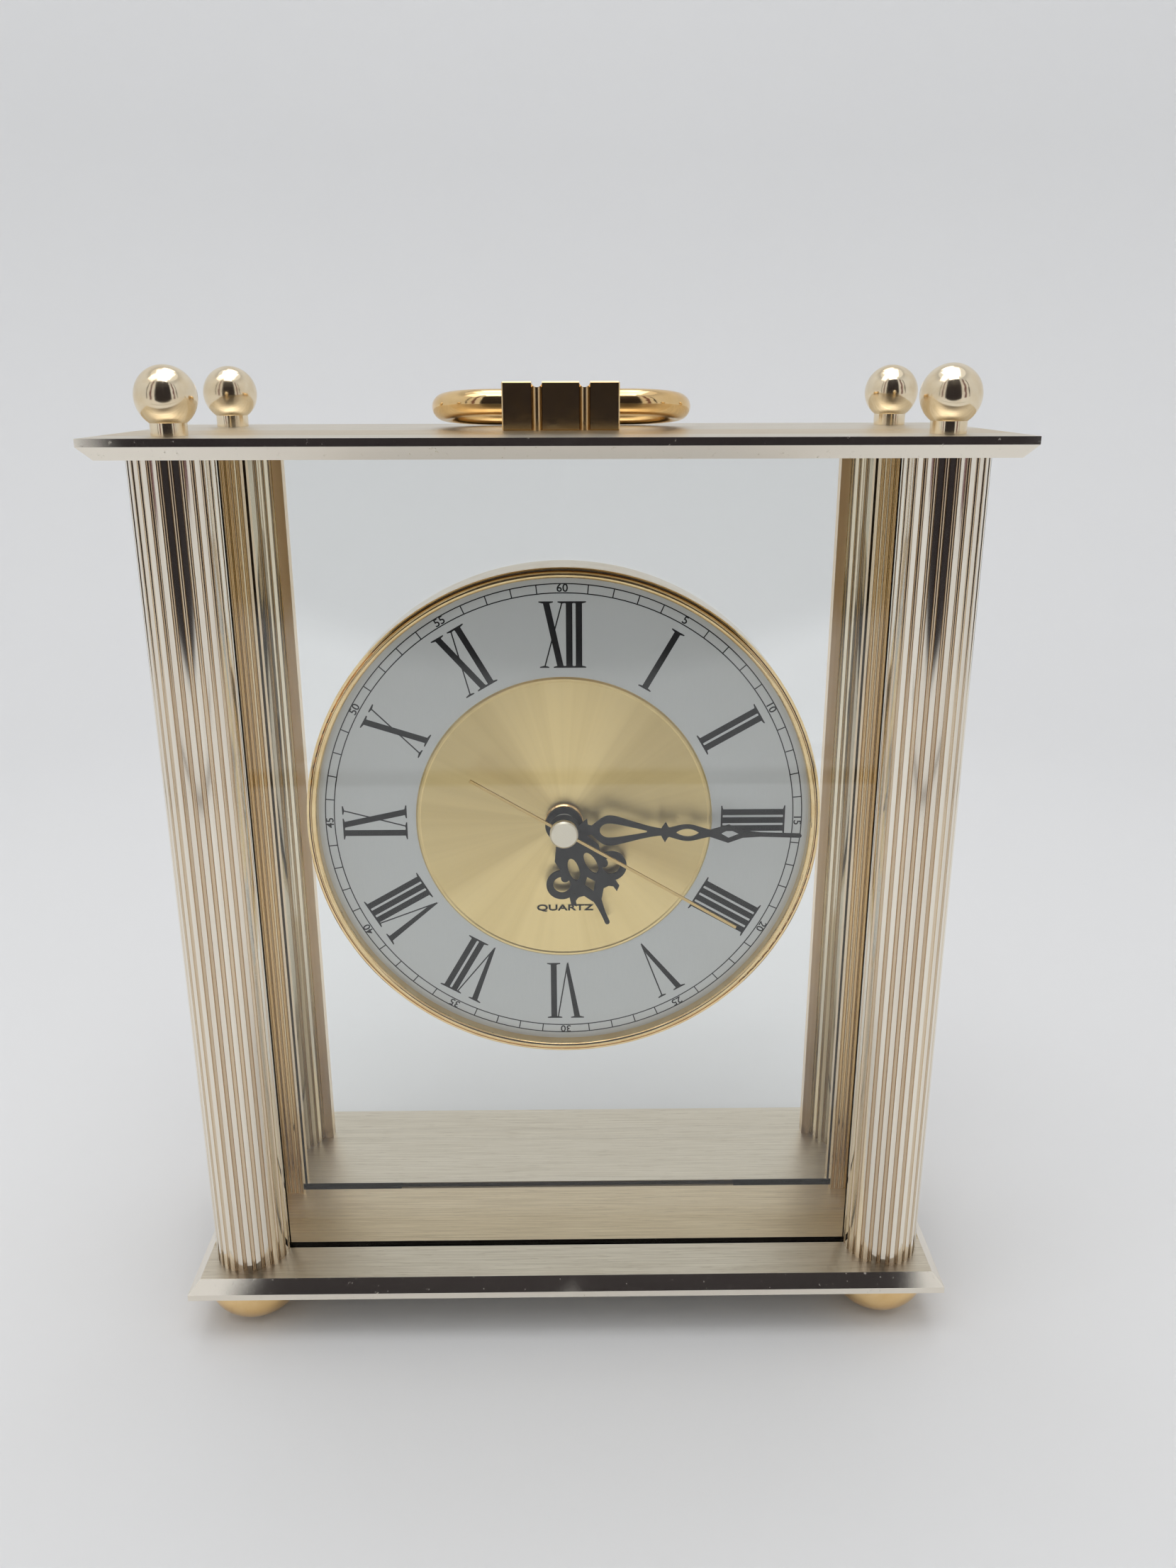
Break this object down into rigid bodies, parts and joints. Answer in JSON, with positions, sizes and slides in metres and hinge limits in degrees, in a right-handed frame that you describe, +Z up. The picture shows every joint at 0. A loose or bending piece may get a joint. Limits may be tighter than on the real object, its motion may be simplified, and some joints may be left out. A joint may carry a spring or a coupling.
{
  "type": "mantel clock",
  "caption": "Free-standing mantel clock: bevelled base and top on fluted columns, clear panes, round dial, serpentine hands, ring handle and a battery quartz movement.",
  "frame": {"origin": "middle of the footprint, on the surface that the feet stand on", "axes": "+Z up, +Y to the back, +X to the viewer's right; the dial faces -Y"},
  "size_m": [0.178, 0.0732, 0.2167],
  "materials": {
    "brushed_plate": "satin brushed along the length, champagne anodised",
    "column_metal": "polished pale champagne",
    "polished_gold": "polished, gold plated",
    "dial_silver": "fine satin silver-grey",
    "dial_gold": "satin champagne gold, radial brushing",
    "hand_black": "matte black lacquer",
    "hand_gold": "satin gold",
    "clear_glass": "clear, polished",
    "steel": "bright zinc plate",
    "rubber_black": "matte",
    "packing_brown": "matte brown",
    "felt": "black felt",
    "plastic_black": "fine matte texture",
    "plastic_white": "natural acetal",
    "copper_wire": "enamelled copper",
    "board_green": "solder mask",
    "cell_jacket": "plain printed jacket"
  },
  "bodies": {
    "clock_body": {"base_plate": "brushed_plate", "battery": "cell_jacket", "bezel": "polished_gold", "bridge_screws": "steel", "centre_glass": "clear_glass", "circuit_board": "board_green", "clamp_plate": "steel", "clamp_screws": "steel", "coil_bobbin": "plastic_white", "coil_core": "steel", "coil_winding": "copper_wire", "column_front_left": "column_metal", "column_front_right": "column_metal", "column_rear_left": "column_metal", "column_rear_right": "column_metal", "contact_negative": "steel", "contact_positive": "steel", "control_chip": "plastic_black", "cover_screws": "steel", "dial_centre_disc": "dial_gold", "dial_drum": "polished_gold", "dial_plate": "dial_silver", "finial_front_left": "polished_gold", "finial_front_right": "polished_gold", "finial_rear_left": "polished_gold", "finial_rear_right": "polished_gold", "fixing_nut": "polished_gold", "foot_front_left": "polished_gold", "foot_front_right": "polished_gold", "foot_pads": "felt", "foot_rear_left": "polished_gold", "foot_rear_right": "polished_gold", "front_glass": "clear_glass", "glass_packing": "packing_brown", "handle_block": "polished_gold", "handle_screws": "steel", "movement_case": "plastic_black", "movement_cover": "plastic_black", "pane_gaskets": "rubber_black", "quartz_crystal": "steel", "stator": "steel", "stile_left": "column_metal", "stile_right": "column_metal", "tie_rods": "steel", "top_plate": "brushed_plate", "train_bridge": "plastic_white"},
    "handle_ring": {"handle_ring": "polished_gold"},
    "hour_group": {"hour_hand": "hand_black", "hour_wheel": "plastic_white"},
    "minute_group": {"minute_hand": "hand_black", "minute_pipe": "plastic_white"},
    "second_group": {"second_hand": "hand_gold", "second_cap": "hand_gold", "seconds_wheel": "plastic_white"},
    "third_wheel": {"third_wheel": "plastic_white"},
    "centre_wheel": {"centre_wheel": "plastic_white"},
    "step_wheel": {"step_wheel": "plastic_white"},
    "rotor": {"rotor": "plastic_white"},
    "minute_wheel": {"minute_wheel": "plastic_white"},
    "setting_knob": {"setting_knob": "plastic_black"}
  },
  "joints": [
    {"name": "handle_swing", "type": "hinge", "parent": "clock_body", "child": "handle_ring", "pos_m": [0, 0, 0.2092], "axis": [1, 0, 0], "range_deg": [0, 167.3]},
    {"name": "minute_spin", "type": "hinge", "parent": "clock_body", "child": "minute_group", "pos_m": [0, 0, 0.1195], "axis": [0, 1, 0], "continuous": true},
    {"name": "hour_spin", "type": "hinge", "parent": "clock_body", "child": "hour_group", "pos_m": [0, 0, 0.1195], "axis": [0, 1, 0], "continuous": true},
    {"name": "minute_wheel_spin", "type": "hinge", "parent": "clock_body", "child": "minute_wheel", "pos_m": [-0.00835, 0, 0.11726], "axis": [0, 1, 0], "continuous": true},
    {"name": "knob_spin", "type": "hinge", "parent": "clock_body", "child": "setting_knob", "pos_m": [-0.01699, 0, 0.11726], "axis": [0, 1, 0], "continuous": true},
    {"name": "second_spin", "type": "hinge", "parent": "clock_body", "child": "second_group", "pos_m": [0, 0, 0.1195], "axis": [0, 1, 0], "continuous": true},
    {"name": "third_spin", "type": "hinge", "parent": "clock_body", "child": "third_wheel", "pos_m": [-0.00595, 0, 0.12981], "axis": [0, 1, 0], "continuous": true},
    {"name": "centre_spin", "type": "hinge", "parent": "clock_body", "child": "centre_wheel", "pos_m": [0, 0, 0.1195], "axis": [0, 1, 0], "continuous": true},
    {"name": "step_spin", "type": "hinge", "parent": "clock_body", "child": "step_wheel", "pos_m": [0.00921, 0, 0.12285], "axis": [0, 1, 0], "continuous": true},
    {"name": "rotor_spin", "type": "hinge", "parent": "clock_body", "child": "rotor", "pos_m": [0.01341, 0, 0.13013], "axis": [0, 1, 0], "continuous": true}
  ],
  "couplings": [
    {"joint": "hour_spin", "follows": "minute_spin", "ratio": 0.083333},
    {"joint": "minute_wheel_spin", "follows": "minute_spin", "ratio": -0.33333},
    {"joint": "knob_spin", "follows": "minute_spin", "ratio": 1},
    {"joint": "third_spin", "follows": "second_spin", "ratio": -0.13333},
    {"joint": "centre_spin", "follows": "second_spin", "ratio": 0.016667},
    {"joint": "step_spin", "follows": "second_spin", "ratio": -6},
    {"joint": "rotor_spin", "follows": "second_spin", "ratio": 30}
  ]
}
